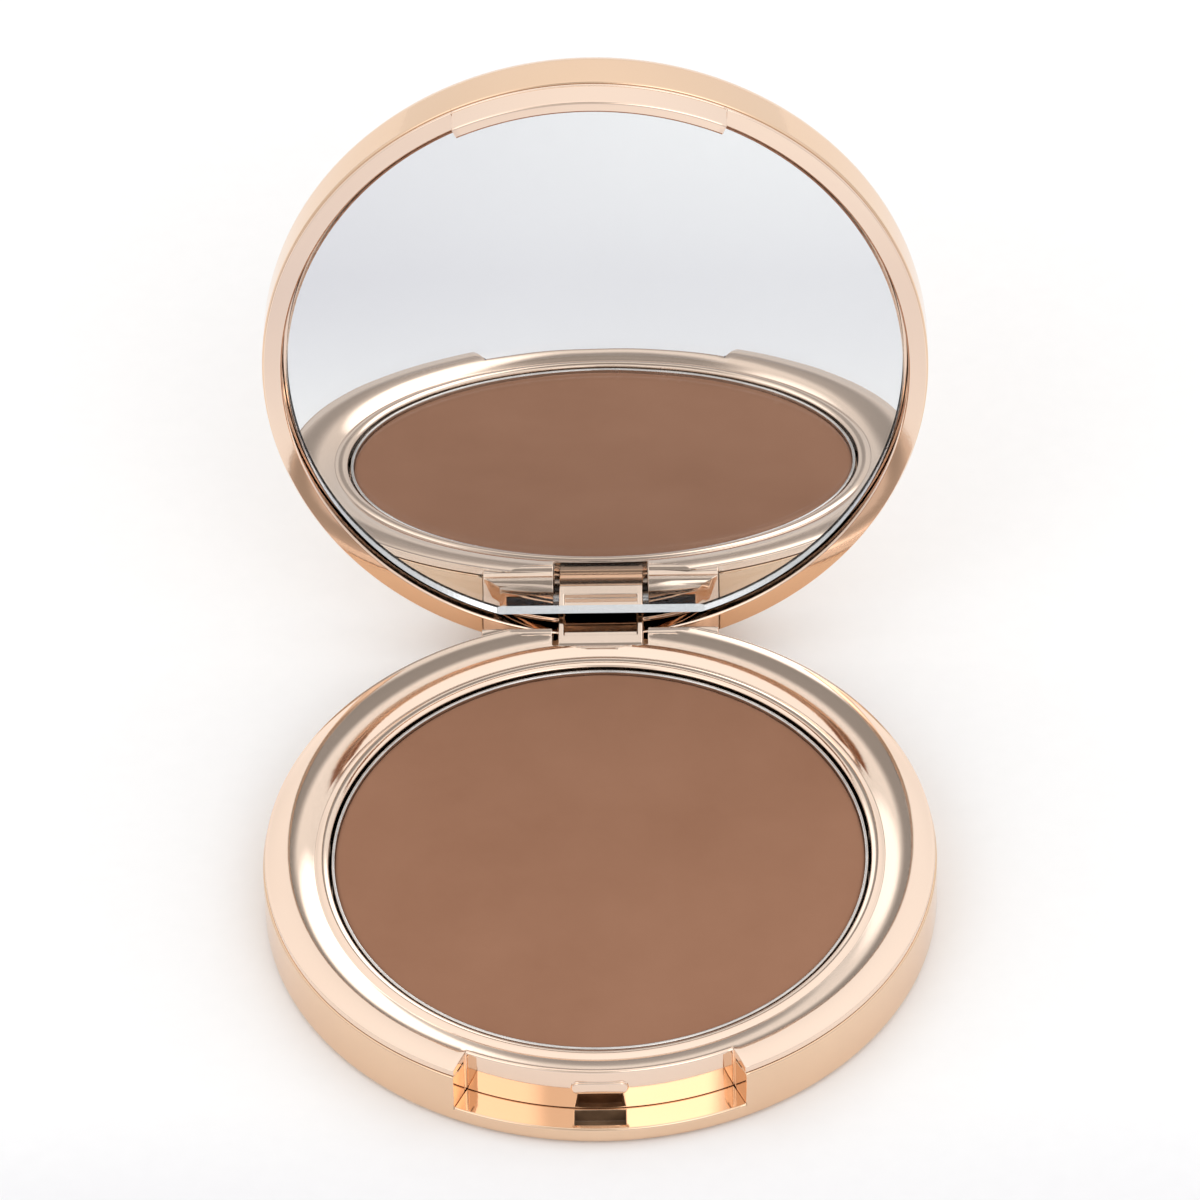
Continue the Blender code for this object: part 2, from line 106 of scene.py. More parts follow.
RIM_INNER = BAND_RADIUS - 2.1 * MM
MIRROR_RADIUS = RIM_INNER - 0.4 * MM
MIRROR_Z = RIM_Z + 1.0 * MM
MIRROR_THICKNESS = 1.1 * MM
CHORD_Y = BODY_RADIUS - 4.8 * MM
SEAT_Z = MIRROR_Z + MIRROR_THICKNESS + 0.4 * MM
PLATE_Z = SEAT_Z + 1.0 * MM
TAB_DEG = 24.2
TAB_LENGTH = 3.6 * MM
TAB_OUTER = BAND_RADIUS - 0.1 * MM
TAB_INNER = TAB_OUTER - 1.4 * MM
KNUCKLE_RADIUS = 1.9 * MM
KNUCKLE_HALF = 4.8 * MM
NECK_INSET = 0.2 * MM
NECK_BELOW_PLATE = 0.5 * MM
NOTCH_HALF = KNUCKLE_HALF + 0.65 * MM
BLOCK_HALF = 13.5 * MM
BLOCK_ROUND = 2.7 * MM
BLOCK_REACH = BODY_RADIUS + 1.35 * MM
BLOCK_FLOOR = 1.8 * MM
NOTCH_FRONT = HINGE.y - KNUCKLE_RADIUS - GAP
PIN_RADIUS = 0.75 * MM
BORE_CLEARANCE = 0.15 * MM
RECESS_ROUND = 0.5 * MM
END_WALL = 1.2 * MM
SLOT_HALF = 2.8 * MM
SLOT_WALL = 0.8 * MM
SLOT_FLOOR = 0.7 * MM
SLOT_SET_OFF = 0.2 * MM
SLOT_SKIN = 0.1 * MM
CATCH_HALF = 3.1 * MM
CATCH_HEIGHT = 1.65 * MM
CATCH_PROUD = 0.22 * MM
CATCH_ROUND = 0.16 * MM
CATCH_Z = TOP - 2.5 * MM
WELL_Z = PAN_LOW[2] - 0.4 * MM
WELL_UNDER = WELL_Z - 0.9 * MM
PAN_RADIUS = PAN_HIGH[0] + 0.2 * MM
PAN_WALL = 0.4 * MM
CAKE_CLEARANCE = 0.02 * MM
CAKE_LIFT = 0.2 * MM
CAKE_DROP = 0.18 * MM
CAKE_DROP_REACH = 0.45 * MM
CAKE_WAVES = 0.018 * MM
CAKE_WAVES_PER_M = 55
CAKE_CRUMBS = 0.05 * MM
CAKE_CRUMB_REACH = 0.6 * MM
CAKE_CRUMBS_PER_M = 900
CAKE_EDGE_RINGS = (1.2, 0.8, 0.5, 0.3, 0.18, 0.09, 0.03)
TAB_Z = RIM_Z + RIM_FLANGE / 2 - TAB_LENGTH
TAB_ROUND = 0.3 * MM
LATCH_DEG = 5.0
LATCH_HEIGHT = 0.8 * MM
LATCH_PROUD = 0.45 * MM
LATCH_Z = TAB_Z + 1.0 * MM
LATCH_ROOT = 0.2 * MM
WINDOW_RADIUS = RIM_INNER - 0.3 * MM
POCKET_HALF = 4.2 * MM
POCKET_Y = HINGE.y - KNUCKLE_RADIUS + 0.6 * MM
POCKET_Z = HINGE.z + 1.6 * MM
MIRROR_BEVEL = 0.15 * MM
GLASS_FORWARD = 0.3 * MM
SILVERED = 0.9
STEPS = 288
FAR = 3 * BODY_RADIUS

# Studio
FLOOR_SIZE = 30.0
FLOOR_DARK = (0.965, 0.965, 0.965)
FLOOR_LIGHT = (0.98, 0.98, 0.98)
# Colour of the painted shade on the floor ahead, round the painted pool of light
FLOOR_PAINTED_SHADE = (0.71, 0.70, 0.745)
# The mirror shows the floor in front: its colour holds a painted pool of light, lightest round a spot
# ahead, and painted grey shade round it from a little way ahead
PAINTED_POOL_CENTRE = (0.035, -0.15, 0)
PAINTED_POOL_REACH = (0.02, 0.14)
PAINTED_SHADE_START = (0.03, 0.08)
TENT = (1.0, 0.995, 0.995)
TENT_LEVEL = 0.74
# Patches of the tent: degrees to the right of the front, degrees up, inner and outer half width, amount
PATCHES = (
    (0, 90, 0, 88, 0.42),
    (180, -5, 34, 46, 0.22),
    (24, 43, 11, 17, 1.3),
    (-43, 43, 9, 17, 0.7),
    (-5, 64, 8, 17, -0.75),
    (-5, 28, 5, 14, -0.45),
)
LENS_MM = 291.2
SENSOR_MM = 36.0
VIEW_LIFT_DEG = 43.395
VIEW_SIDE_DEG = 1.11
VIEW_ROLL_DEG = -1.522
VIEW_DISTANCE = 1.001
LOOK_AT = Vector((0, -37.684, 81.959)) * MM
FRAMING_SIDE = 1.5 * MM


# ---------------------------------------------------------------- outlines and meshes

def fillet(before, corner, after, radius, steps=6):
    """Points of a round of the given radius at a corner of an outline."""
    b = Vector(before[:2]) - Vector(corner[:2])
    a = Vector(after[:2]) - Vector(corner[:2])
    half = b.angle(a) / 2
    run = min(radius / math.tan(half), 0.48 * b.length, 0.48 * a.length)
    centre = Vector(corner[:2]) + (b.normalized() + a.normalized()).normalized() * run / math.cos(half)
    start = Vector(corner[:2]) + b.normalized() * run - centre
    end = Vector(corner[:2]) + a.normalized() * run - centre
    first = math.atan2(start.y, start.x)
    turn = (math.atan2(end.y, end.x) - first + math.pi) % (2 * math.pi) - math.pi
    angles = [first + turn * i / steps for i in range(steps + 1)]
    return [(centre.x + start.length * math.cos(t), centre.y + start.length * math.sin(t)) for t in angles]


def outline(points):
    """Corners (r, z) or (r, z, round) as a plain list of points."""
    result = []
    for i, point in enumerate(points):
        if len(point) == 3:
            result += fillet(points[i - 1], point, points[i + 1], point[2])
        else:
            result.append(tuple(point[:2]))
    return result


def arc(first, middle, last, steps):
    """Points on the circle from first through middle to last."""
    a, b, c = Vector(first), Vector(middle), Vector(last)
    d = 2 * (a.x * (b.y - c.y) + b.x * (c.y - a.y) + c.x * (a.y - b.y))
    x = (a.dot(a) * (b.y - c.y) + b.dot(b) * (c.y - a.y) + c.dot(c) * (a.y - b.y)) / d
    y = (a.dot(a) * (c.x - b.x) + b.dot(b) * (a.x - c.x) + c.dot(c) * (b.x - a.x)) / d
    centre = Vector((x, y))
    radius = (a - centre).length
    start = math.atan2(*(a - centre).yx)
    turn = (math.atan2(*(c - centre).yx) - start + math.pi) % (2 * math.pi) - math.pi
    angles = [start + turn * i / steps for i in range(steps + 1)]
    return [(x + radius * math.cos(t), y + radius * math.sin(t)) for t in angles]


def link(name, bm):
    """Makes an object of a bmesh."""
    bmesh.ops.recalc_face_normals(bm, faces=bm.faces)
    mesh = bpy.data.meshes.new(name)
    bm.to_mesh(mesh)
    bm.free()
    obj = bpy.data.objects.new(name, mesh)
    bpy.context.scene.collection.objects.link(obj)
    return obj


def turned(name, before, zones, after):
    """A turned solid whose outline changes with the angle from the front.

    Each zone is (limit in degrees, points): the outline is before + points + after up to that
    angle either side of the front, and the last zone goes all the way round."""
    bm = bmesh.new()
    limits = [limit for limit, _ in zones[:-1]]
    stops = [-limit for limit in limits[::-1]] + limits + [360 - limits[-1]]
    choice = [z for z in range(len(limits) - 1, 0, -1)] + list(range(len(zones)))
    angles, spans = [], []
    for start, end, zone in zip(stops, stops[1:], choice):
        count = max(1, round((end - start) / 360 * STEPS))
        angles += [start + (end - start) * i / count for i in range(count)]
        spans += [zone] * count
    known = {}

    def column(index, zone):
        angle = math.radians(angles[index] - 90)
        verts = []
        for r, z in before + zones[zone][1] + after:
            key = (0 if r < 1e-7 else index, round(r * 1e7), round(z * 1e7))
            if key not in known:
                known[key] = bm.verts.new((r * math.cos(angle), r * math.sin(angle), z))
            verts.append(known[key])
        return verts

    for i in range(len(angles)):
        left, right = column(i, spans[i]), column((i + 1) % len(angles), spans[i])
        for k in range(len(left) - 1):
            corners = list(dict.fromkeys([left[k], left[k + 1], right[k + 1], right[k]]))
            if len(corners) > 2:
                bm.faces.new(corners)
        if spans[i] != spans[i - 1]:
            one, two = column(i, spans[i - 1]), left
            while one[1] is two[1]:
                one, two = one[1:], two[1:]
            while one[-2] is two[-2]:
                one, two = one[:-1], two[:-1]
            bm.faces.new(one + two[-2:0:-1])
    return link(name, bm)


def lathe(name, points):
    """A plain turned solid."""
    bm = bmesh.new()
    rings = []
    for r, z in points:
        if r < 1e-7:
            rings.append([bm.verts.new((0, 0, z))] * STEPS)
        else:
            turn = [2 * math.pi * i / STEPS for i in range(STEPS)]
            rings.append([bm.verts.new((r * math.sin(a), -r * math.cos(a), z)) for a in turn])
    for k in range(len(rings) - 1):
        for i in range(STEPS):
            j = (i + 1) % STEPS
            corners = [rings[k][i], rings[k + 1][i], rings[k + 1][j], rings[k][j]]
            unique = list(dict.fromkeys(corners))
            if len(unique) > 2:
                bm.faces.new(unique)
    return link(name, bm)


def box(name, x, y, z):
    """A block between two places along each axis."""
    bm = bmesh.new()
    bmesh.ops.create_cube(bm, size=1.0)
    bmesh.ops.scale(bm, vec=(x[1] - x[0], y[1] - y[0], z[1] - z[0]), verts=bm.verts)
    centre = ((x[0] + x[1]) / 2, (y[0] + y[1]) / 2, (z[0] + z[1]) / 2)
    bmesh.ops.translate(bm, vec=centre, verts=bm.verts)
    return link(name, bm)


def bar(name, section, half):
    """A bar along X with a (y, z) section."""
    bm = bmesh.new()
    face = bm.faces.new([bm.verts.new((-half, y, z)) for y, z in section])
    made = bmesh.ops.extrude_face_region(bm, geom=[face])
    moved = [v for v in made["geom"] if isinstance(v, bmesh.types.BMVert)]
    bmesh.ops.translate(bm, vec=(2 * half, 0, 0), verts=moved)
    return link(name, bm)


def rod(name, radius, half, steps=48):
    """A round bar about the hinge's axis."""
    turn = [2 * math.pi * i / steps for i in range(steps)]
    return bar(name, [(HINGE.y + radius * math.cos(a), HINGE.z + radius * math.sin(a)) for a in turn], half)


def boolean(obj, tool, operation):
    """Changes obj by the tool, which is used up."""
    mod = obj.modifiers.new(tool.name, "BOOLEAN")
    mod.object = tool
    mod.operation = operation
    mod.solver = "EXACT"
    bpy.context.view_layer.update()
    mesh = bpy.data.meshes.new_from_object(obj.evaluated_get(bpy.context.evaluated_depsgraph_get()))
    obj.modifiers.remove(mod)
    old = obj.data
    obj.data = mesh
    mesh.name = obj.name
    bpy.data.meshes.remove(old)
    bpy.data.objects.remove(tool, do_unlink=True)


def cut(obj, *tools):
    for tool in tools:
        boolean(obj, tool, "DIFFERENCE")


def join(obj, *tools):
    for tool in tools:
        boolean(obj, tool, "UNION")


def soften(obj, width=0.1 * MM, angle=40):
    """Small rounds on the sharp edges, and smooth shading that keeps flat faces flat."""
    bevel = obj.modifiers.new("edges", "BEVEL")
    bevel.width = width
    bevel.segments = 3
    bevel.limit_method = "ANGLE"
    bevel.angle_limit = math.radians(angle)
    bevel.use_clamp_overlap = False
    normals = obj.modifiers.new("normals", "WEIGHTED_NORMAL")
    normals.mode = "FACE_AREA"
    normals.weight = 100
    obj.data.shade_smooth()


def ride(obj, body, node, mat):
    """Puts a piece on its body in place of a CAD node. Lid pieces are drawn shut, and turned open here."""
    if body == "lid":
        turn = Matrix.Rotation(-OPEN, 4, "X")
        obj.data.transform(Matrix.Translation(HINGE) @ turn @ Matrix.Translation(-HINGE))
    obj.data.materials.clear()
    obj.data.materials.append(mat)
    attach(obj, body)
    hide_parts(node)


# ---------------------------------------------------------------- materials

def new_material(name):
    """A node material, with its tree, shader and coordinates."""
    mat = bpy.data.materials.new(name)
    mat.use_nodes = True
    tree = mat.node_tree
    shader = tree.nodes["Principled BSDF"]
    coords = tree.nodes.new("ShaderNodeTexCoord")
    return mat, tree, shader, coords


def noise(tree, coords, scale, detail=3.0, rough=0.5):
    node = tree.nodes.new("ShaderNodeTexNoise")
    node.inputs["Scale"].default_value = scale
    node.inputs["Detail"].default_value = detail
    node.inputs["Roughness"].default_value = rough
    tree.links.new(coords.outputs["Object"], node.inputs["Vector"])
    return node


def spread(tree, value, low, high, from_low=0.3, from_high=0.7):
    """Maps a value to a range."""
    node = tree.nodes.new("ShaderNodeMapRange")
    node.inputs["From Min"].default_value = from_low
    node.inputs["From Max"].default_value = from_high
    node.inputs["To Min"].default_value = low
    node.inputs["To Max"].default_value = high
    tree.links.new(value, node.inputs["Value"])
    return node.outputs["Result"]


def tint(tree, value, dark, light):
    """Maps a value to a mix of two colours."""
    ramp = tree.nodes.new("ShaderNodeValToRGB")
    ramp.color_ramp.elements[0].position = 0.3
    ramp.color_ramp.elements[0].color = (*dark, 1)
    ramp.color_ramp.elements[1].position = 0.7
    ramp.color_ramp.elements[1].color = (*light, 1)
    tree.links.new(value, ramp.inputs["Fac"])
    return ramp.outputs["Color"]


def bump(tree, shader, height, distance, strength=1.0):
    """Fine relief, with its depth in metres."""
    node = tree.nodes.new("ShaderNodeBump")
    node.inputs["Strength"].default_value = strength
    node.inputs["Distance"].default_value = distance
    tree.links.new(height, node.inputs["Height"])
    tree.links.new(node.outputs["Normal"], shader.inputs["Normal"])


def plated(name, dark, light, rough_low, rough_high):
    """Vacuum-metallised plastic: an even film with a faint orange peel and soft handling haze."""
    mat, tree, shader, coords = new_material(name)
    shader.inputs["Metallic"].default_value = 1.0
    haze = noise(tree, coords, 90, 4)
    film = noise(tree, coords, 45, 2)
    peel = noise(tree, coords, 900, 2)
    tree.links.new(tint(tree, film.outputs["Fac"], dark, light), shader.inputs["Base Color"])
    tree.links.new(spread(tree, haze.outputs["Fac"], rough_low, rough_high), shader.inputs["Roughness"])
    bump(tree, shader, peel.outputs["Fac"], 0.000002)
    return mat


def powder_material():
    """Matt pressed powder, faintly cloudy and finely grained."""
    mat, tree, shader, coords = new_material("pressed_powder")
    shader.inputs["Roughness"].default_value = 0.92
    shader.inputs["Specular IOR Level"].default_value = 0.25
    cloud = noise(tree, coords, 60, 5, 0.6)
    grain = noise(tree, coords, 5200, 3, 0.7)
    tree.links.new(tint(tree, cloud.outputs["Fac"], (0.318, 0.153, 0.089), (0.356, 0.177, 0.106)),
                   shader.inputs["Base Color"])
    bump(tree, shader, grain.outputs["Fac"], 0.00002, 0.5)
    return mat


def tin_material():
    """Bare pressed metal."""
    mat, tree, shader, coords = new_material("tin_plate")
    shader.inputs["Metallic"].default_value = 1.0
    film = noise(tree, coords, 400, 3)
    tree.links.new(tint(tree, film.outputs["Fac"], (0.60, 0.57, 0.545), (0.73, 0.70, 0.67)),
                   shader.inputs["Base Color"])
    tree.links.new(spread(tree, film.outputs["Fac"], 0.18, 0.30), shader.inputs["Roughness"])
    bump(tree, shader, film.outputs["Fac"], 0.000004)
    return mat


def plain_material(name, dark, light, metallic, rough_low, rough_high, scale):
    """One noise drives the colour, the roughness and the relief."""
    mat, tree, shader, coords = new_material(name)
    shader.inputs["Metallic"].default_value = metallic
    spots = noise(tree, coords, scale, 3)
    tree.links.new(tint(tree, spots.outputs["Fac"], dark, light), shader.inputs["Base Color"])
    tree.links.new(spread(tree, spots.outputs["Fac"], rough_low, rough_high), shader.inputs["Roughness"])
    bump(tree, shader, spots.outputs["Fac"], 0.00001)
    return mat


def glass_material():
    """Clear float glass with a few faint wipe marks."""
    mat, tree, shader, coords = new_material("mirror_glass")
    shader.inputs["Base Color"].default_value = (0.965, 0.985, 0.975, 1)
    shader.inputs["Transmission Weight"].default_value = 1.0
    shader.inputs["IOR"].default_value = 1.5
    shader.inputs["Roughness"].default_value = 0.0
    ripple = noise(tree, coords, 25, 1)
    bump(tree, shader, ripple.outputs["Fac"], 0.0000006)
    return mat


GOLD = plated("champagne_gold", (0.825, 0.585, 0.405), (0.85, 0.615, 0.435), 0.05, 0.085)
PALE = plated("pale_gold", (0.89, 0.69, 0.55), (0.91, 0.72, 0.585), 0.045, 0.075)
POWDER = powder_material()
TIN = tin_material()
GROUND = plain_material("ground_edge", (0.86, 0.88, 0.89), (0.95, 0.96, 0.97), 1.0, 0.14, 0.26, 2000)
# Dark brown painted shade for the inside of the slot
SLOT_PAINTED_SHADE = plain_material("slot_painted_shade", (0.16, 0.092, 0.05), (0.25, 0.15, 0.085), 0.0, 0.3, 0.45, 700)
STEEL = plain_material("pin_steel", (0.5, 0.49, 0.48), (0.66, 0.65, 0.64), 1.0, 0.2, 0.35, 1500)
TAPE = plain_material("tape_white", (0.74, 0.74, 0.71), (0.84, 0.84, 0.81), 0.0, 0.6, 0.8, 2500)
GLASS = glass_material()
SILVER = plain_material("mirror_silver", (0.865, 0.865, 0.885), (0.88, 0.88, 0.90), 1.0, 0.0, 0.003, 30)


# ---------------------------------------------------------------- base

def sector(name, radii, heights, half_deg):
    """A block of ring, half_deg either side of the front."""
    bm = bmesh.new()
    start = math.radians(-half_deg - 90)
    (inner, outer), (low, high) = radii, heights
    corners = [(inner, low), (outer, low), (outer, high), (inner, high)]
    face = bm.faces.new([bm.verts.new((r * math.cos(start), r * math.sin(start), z)) for r, z in corners])
    steps = max(1, round(2 * half_deg / 360 * STEPS))
    sweep = math.radians(2 * half_deg)
    bmesh.ops.spin(bm, geom=[face], cent=(0, 0, 0), axis=(0, 0, 1), angle=sweep, steps=steps)
    return link(name, bm)


def make_base_shell():
    """The outer cup, with the recess floor, its end walls, the slot with painted shade on its walls and
    floor, and the hinge opening.
    """
    inner = BODY_RADIUS - SHELL_WALL
    end_top = SEAM_Z - GAP
    end_radius = SKIRT_RADIUS + SEAM_GAP
    before = [(0, SHELL_FLOOR), (SKIRT_INNER, SHELL_FLOOR)]
    brim = outline([
        (inner, end_top),
        (inner, SEAM_Z, EDGE / 2),
        (BODY_RADIUS, SEAM_Z, EDGE),
        (BODY_RADIUS, RECESS_FLOOR),
    ])[:-1]
    plain = outline([
        (SKIRT_INNER, SHELL_FLOOR),
        (end_radius, SHELL_FLOOR),
        (inner, SHELL_FLOOR, SHELL_FLOOR / 2),
        (inner, end_top),
    ])[1:-1] + brim
    end_wall = [(end_radius, SHELL_FLOOR), (end_radius, end_top)] + brim
    recess = outline([
        (SKIRT_INNER, SHELL_FLOOR),
        (SKIRT_INNER, RECESS_FLOOR),
        (BODY_RADIUS, RECESS_FLOOR, EDGE),
        (BODY_RADIUS, RECESS_FLOOR - 3 * EDGE),
    ])[1:-2]
    after = outline([
        (BODY_RADIUS, RECESS_FLOOR - EDGE),
        (BODY_RADIUS, 0, FOOT_ROUND),
        (0, 0),
    ])
    end_deg = RECESS_DEG + math.degrees(END_WALL / RECESS_RADIUS)
    zones = [(RECESS_DEG, recess), (end_deg, end_wall), (180, plain)]
    shell = turned("base_shell_fine", before, zones, after)
    slot_y = (-BODY_RADIUS + SLOT_WALL, -RECESS_RADIUS - SLOT_SET_OFF)
    cut(shell, box("slot", (-SLOT_HALF, SLOT_HALF), slot_y, (SLOT_FLOOR, TOP)))
    opening_x = (-BLOCK_HALF - SEAM_GAP, BLOCK_HALF + SEAM_GAP)
    cut(shell, box("opening", opening_x, (HINGE.y - 2 * BLOCK_ROUND, FAR), (BLOCK_FLOOR - SEAM_GAP, FAR)))
    soften(shell)
    ride(shell, "base", "base_shell", GOLD)
    # The slot's walls and floor take the dark brown: painted shade in the slot
    shell.data.materials.append(SLOT_PAINTED_SHADE)
    for face in shell.data.polygons:
        x, y, z = face.center
        over_slot = abs(x) < SLOT_HALF + GAP and slot_y[0] - SLOT_SKIN < y < -SKIRT_INNER
        if over_slot and SLOT_FLOOR - GAP < z < RECESS_FLOOR - SLOT_SKIN:
            face.material_index = 1


def make_base_frame():
    """The well, the bead, the crowned band, the recess wall, and the hinge block at the back."""
    lip = (WELL_RADIUS, LIP_Z)
    bead = arc(lip, ((CREASE[0] + lip[0]) / 2, BEAD_Z), CREASE, 10)
    edge = (BAND_RADIUS - EDGE, BAND_EDGE_Z)
    band = arc(CREASE, (CROWN_RADIUS, TOP), edge, 24)
    split = RECESS_RADIUS - 1.3 * RECESS_ROUND
    inside = [p for p in band if p[0] < split]
    outside = [p for p in band if p[0] >= split]
    brow = min(outside, key=lambda p: abs(p[0] - RECESS_RADIUS))[1]
    before = outline([(0, WELL_Z), (WELL_RADIUS, WELL_Z, EDGE), lip]) + bead[1:] + inside[1:]
    plain = outside + outline([
        edge,
        (BAND_RADIUS, BAND_EDGE_Z, EDGE),
        (BAND_RADIUS, FLANGE_Z),
        (SKIRT_RADIUS, FLANGE_Z),
        (SKIRT_RADIUS, SKIRT_Z),
    ])[1:]
    recess = outline([before[-1], (RECESS_RADIUS, brow, RECESS_ROUND), (RECESS_RADIUS, SKIRT_Z)])[1:-1]
    after = [
        (RECESS_RADIUS, SKIRT_Z),
        (SKIRT_INNER, SKIRT_Z),
        (SKIRT_INNER, FLANGE_UNDER),
        (WELL_RADIUS + WELL_WALL, FLANGE_UNDER),
        (WELL_RADIUS + WELL_WALL, WELL_UNDER),
        (0, WELL_UNDER),
    ]
    body = turned("base_frame_fine", before, [(RECESS_DEG, recess), (180, plain)], after)
    back = BAND_RADIUS
    block = box("hinge_block", (-BLOCK_HALF, BLOCK_HALF), (NOTCH_FRONT - GAP, back),
                (BLOCK_FLOOR, BAND_EDGE_Z - EDGE / 2))
    reach = lathe("reach", [(0, -FAR), (BLOCK_REACH, -FAR), (BLOCK_REACH, FAR), (0, FAR)])
    boolean(block, reach, "INTERSECT")
    join(body, block)
    round_y, round_z = back - BLOCK_ROUND, TOP - BLOCK_ROUND
    turn = [math.pi / 2 * i / 12 for i in range(13)]
    corner = [(round_y, TOP + BLOCK_ROUND)]
    corner += [(round_y + BLOCK_ROUND * math.sin(a), round_z + BLOCK_ROUND * math.cos(a)) for a in turn]
    corner += [(back + BLOCK_ROUND, round_z), (back + BLOCK_ROUND, TOP + BLOCK_ROUND)]
    cut(body, bar("corner", corner, BLOCK_HALF + GAP),
        box("notch", (-NOTCH_HALF, NOTCH_HALF), (NOTCH_FRONT, FAR), (-FAR, FAR)),
        rod("bore", PIN_RADIUS + BORE_CLEARANCE, BLOCK_HALF + 2 * GAP))
    join(body, make_catch())
    soften(body)
    ride(body, "base", "base_frame", PALE)


def make_catch():
    """The long round-ended bead on the recess wall."""
    radius = CATCH_HEIGHT / 2
    run = CATCH_HALF - radius
    turn = [math.pi * (i / 12 - 0.5) for i in range(13)]
    right = [(run + radius * math.cos(a), radius * math.sin(a)) for a in turn]
    left = [(-x, -z) for x, z in right]
    front = -RECESS_RADIUS - CATCH_PROUD
    bm = bmesh.new()
    face = bm.faces.new([bm.verts.new((x, front, CATCH_Z + z)) for x, z in right + left])
    made = bmesh.ops.extrude_face_region(bm, geom=[face])
    moved = [v for v in made["geom"] if isinstance(v, bmesh.types.BMVert)]
    bmesh.ops.translate(bm, vec=(0, CATCH_PROUD + 2 * GAP, 0), verts=moved)
    rim = [e for e in bm.edges if all(abs(v.co.y - front) < 1e-6 for v in e.verts)]
    bmesh.ops.bevel(bm, geom=rim, offset=CATCH_ROUND, segments=4, profile=0.5, affect="EDGES")
    return link("catch", bm)


def make_pan():
    """The pressed tray, with a fine rolled rim."""
    wall = PAN_WALL
    radius, low, high = PAN_RADIUS, PAN_LOW[2], PAN_HIGH[2]
    points = outline([
        (0, low + wall),
        (radius - wall, low + wall, wall),
        (radius - wall, high, wall / 2.2),
        (radius, high, wall / 2.2),
        (radius, low, 2 * wall),
        (0, low),
    ])
    tray = lathe("pan_fine", points)
    soften(tray, 0.02 * MM)
    ride(tray, "base", "pan", TIN)


def make_powder():
    """The pressed cake: nearly flat, with a slightly worn and uneven edge against the tray."""
    radius = PAN_RADIUS - PAN_WALL - CAKE_CLEARANCE
    top = POWDER_HIGH[2]
    bm = bmesh.new()
    rings = [radius * k / 40 for k in range(1, 38)]
    rings += [radius - inset * MM for inset in CAKE_EDGE_RINGS]
    shell = []
    for ring in rings:
        drop = CAKE_DROP * max(0, 1 - (radius - ring) / CAKE_DROP_REACH) ** 2
        worn = CAKE_CRUMBS * max(0, 1 - (radius - ring) / CAKE_CRUMB_REACH)
        verts = []
        for i in range(STEPS):
            angle = 2 * math.pi * i / STEPS
            place = Vector((ring * math.cos(angle), ring * math.sin(angle), 0))
            wave = CAKE_WAVES * mathutils.noise.noise(place * CAKE_WAVES_PER_M)
            crumb = worn * mathutils.noise.noise(place * CAKE_CRUMBS_PER_M)
            verts.append(bm.verts.new((place.x, place.y, top - drop + wave + crumb)))
        shell.append(verts)
    floor = [bm.verts.new((v.co.x, v.co.y, POWDER_LOW[2] + CAKE_LIFT)) for v in shell[-1]]
    shell.append(floor)
    middle = bm.verts.new((0, 0, top))
    for i in range(STEPS):
        j = (i + 1) % STEPS
        bm.faces.new((middle, shell[0][i], shell[0][j]))
        for a, b in zip(shell, shell[1:]):
            bm.faces.new((a[i], b[i], b[j], a[j]))
    bm.faces.new(floor[::-1])
    cake = link("powder_fine", bm)
    cake.data.shade_smooth()
    cake.data.set_sharp_from_angle(angle=math.radians(40))
    ride(cake, "base", "powder", POWDER)


# ---------------------------------------------------------------- lid

def make_lid_cover():
    """The outer cap of the lid."""
    low = RIM_Z + RIM_FLANGE + SEAM_GAP
    inner = BODY_RADIUS - LID_WALL
    points = outline([
        (0, ROOF_Z),
        (BODY_RADIUS, ROOF_Z, ROOF_ROUND),
        (BODY_RADIUS, low, EDGE),
        (inner, low, EDGE),
        (inner, ROOF_Z - ROOF, ROOF_ROUND - LID_WALL),
        (0, ROOF_Z - ROOF),
    ])
    cover = lathe("lid_cover_fine", points)
    soften(cover)
    ride(cover, "lid", "lid_cover", GOLD)


def make_lid_frame():
    """The rim round the mirror, the front tab with its latch, the seat plate and the knuckle."""
    skirt = BODY_RADIUS - LID_WALL - GAP
    before = [(0, PLATE_Z), (skirt, PLATE_Z), (skirt, RIM_Z + RIM_FLANGE)] + outline([
        (skirt, RIM_Z + RIM_FLANGE),
        (BAND_RADIUS, RIM_Z + RIM_FLANGE, EDGE / 3),
        (BAND_RADIUS, RIM_Z + EDGE),
    ])[1:]
    plain = outline([before[-1], (BAND_RADIUS, RIM_Z, EDGE), (RIM_INNER, RIM_Z)])[2:-1]
    tab = outline([
        before[-1],
        (TAB_OUTER, RIM_Z + EDGE),
        (TAB_OUTER, TAB_Z, TAB_ROUND),
        (TAB_INNER, TAB_Z, TAB_ROUND),
        (TAB_INNER, RIM_Z, TAB_INNER - RIM_INNER - EDGE),
        (RIM_INNER - FAR, RIM_Z),
    ])[1:-2]
    after = outline([
        (RIM_INNER + 2 * EDGE, RIM_Z),
        (RIM_INNER, RIM_Z, EDGE),
        (RIM_INNER, SEAT_Z),
        (0, SEAT_Z),
    ])[1:]
    body = turned("lid_frame_fine", before, [(TAB_DEG, tab), (180, plain)], after)
    join(body, sector("latch", (TAB_INNER - LATCH_PROUD, TAB_INNER + LATCH_ROOT),
                      (LATCH_Z, LATCH_Z + LATCH_HEIGHT), LATCH_DEG))
    low, high = SEAT_Z - GAP, PLATE_Z + GAP
    window = lathe("window", [(0, low), (WINDOW_RADIUS, low), (WINDOW_RADIUS, high), (0, high)])
    cut(window, box("chord", (-FAR, FAR), (-FAR, CHORD_Y + GAP), (-FAR, FAR)))
    cut(body, window)
    join(body, make_knuckle(skirt))
    cut(body, box("pocket", (-POCKET_HALF, POCKET_HALF), (CHORD_Y, POCKET_Y), (POCKET_Z, PLATE_Z)))
    cut(body, rod("bore", PIN_RADIUS + GAP, KNUCKLE_HALF + 2 * GAP))
    soften(body)
    ride(body, "lid", "lid_frame", PALE)


